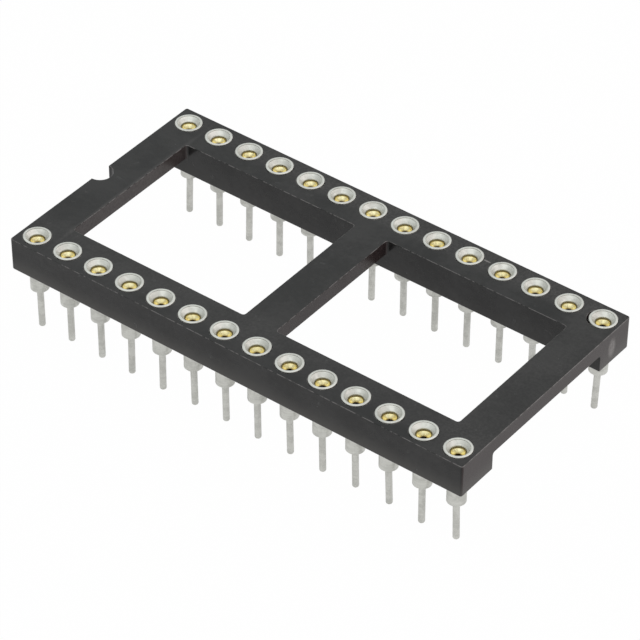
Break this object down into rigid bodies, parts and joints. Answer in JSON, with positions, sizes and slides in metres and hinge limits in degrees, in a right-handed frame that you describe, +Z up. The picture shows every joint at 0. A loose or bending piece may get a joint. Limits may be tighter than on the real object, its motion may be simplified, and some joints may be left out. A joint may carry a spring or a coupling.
{
  "type": "ic socket",
  "caption": "Open-frame dual in-line IC socket: turned contact sleeves with spring clips inside and solder tails below, pressed into a moulded frame with cross bars and an end notch.",
  "frame": {"origin": "middle of the contact pattern, on the board plane where the shoulders of the sleeves stand", "axes": "+X along the rows, away from the notch; +Y from the row of contact 1 to the other row; +Z up out of the board"},
  "size_m": [0.0354, 0.0178, 0.0075],
  "materials": {
    "housing_plastic": "moulded black thermoplastic with a soft gloss and lighter rubbed edges",
    "tinned_sleeve": "turned brass with a satin tin plate",
    "gold_clip": "formed copper alloy strip with a gold plate"
  },
  "bodies": {
    "root": {"housing": "housing_plastic", "sleeve_01": "tinned_sleeve", "sleeve_02": "tinned_sleeve", "sleeve_03": "tinned_sleeve", "sleeve_04": "tinned_sleeve", "sleeve_05": "tinned_sleeve", "sleeve_06": "tinned_sleeve", "sleeve_07": "tinned_sleeve", "sleeve_08": "tinned_sleeve", "sleeve_09": "tinned_sleeve", "sleeve_10": "tinned_sleeve", "sleeve_11": "tinned_sleeve", "sleeve_12": "tinned_sleeve", "sleeve_13": "tinned_sleeve", "sleeve_14": "tinned_sleeve", "sleeve_15": "tinned_sleeve", "sleeve_16": "tinned_sleeve", "sleeve_17": "tinned_sleeve", "sleeve_18": "tinned_sleeve", "sleeve_19": "tinned_sleeve", "sleeve_20": "tinned_sleeve", "sleeve_21": "tinned_sleeve", "sleeve_22": "tinned_sleeve", "sleeve_23": "tinned_sleeve", "sleeve_24": "tinned_sleeve", "sleeve_25": "tinned_sleeve", "sleeve_26": "tinned_sleeve", "sleeve_27": "tinned_sleeve", "sleeve_28": "tinned_sleeve", "clip_01": "gold_clip", "clip_02": "gold_clip", "clip_03": "gold_clip", "clip_04": "gold_clip", "clip_05": "gold_clip", "clip_06": "gold_clip", "clip_07": "gold_clip", "clip_08": "gold_clip", "clip_09": "gold_clip", "clip_10": "gold_clip", "clip_11": "gold_clip", "clip_12": "gold_clip", "clip_13": "gold_clip", "clip_14": "gold_clip", "clip_15": "gold_clip", "clip_16": "gold_clip", "clip_17": "gold_clip", "clip_18": "gold_clip", "clip_19": "gold_clip", "clip_20": "gold_clip", "clip_21": "gold_clip", "clip_22": "gold_clip", "clip_23": "gold_clip", "clip_24": "gold_clip", "clip_25": "gold_clip", "clip_26": "gold_clip", "clip_27": "gold_clip", "clip_28": "gold_clip"}
  },
  "joints": []
}
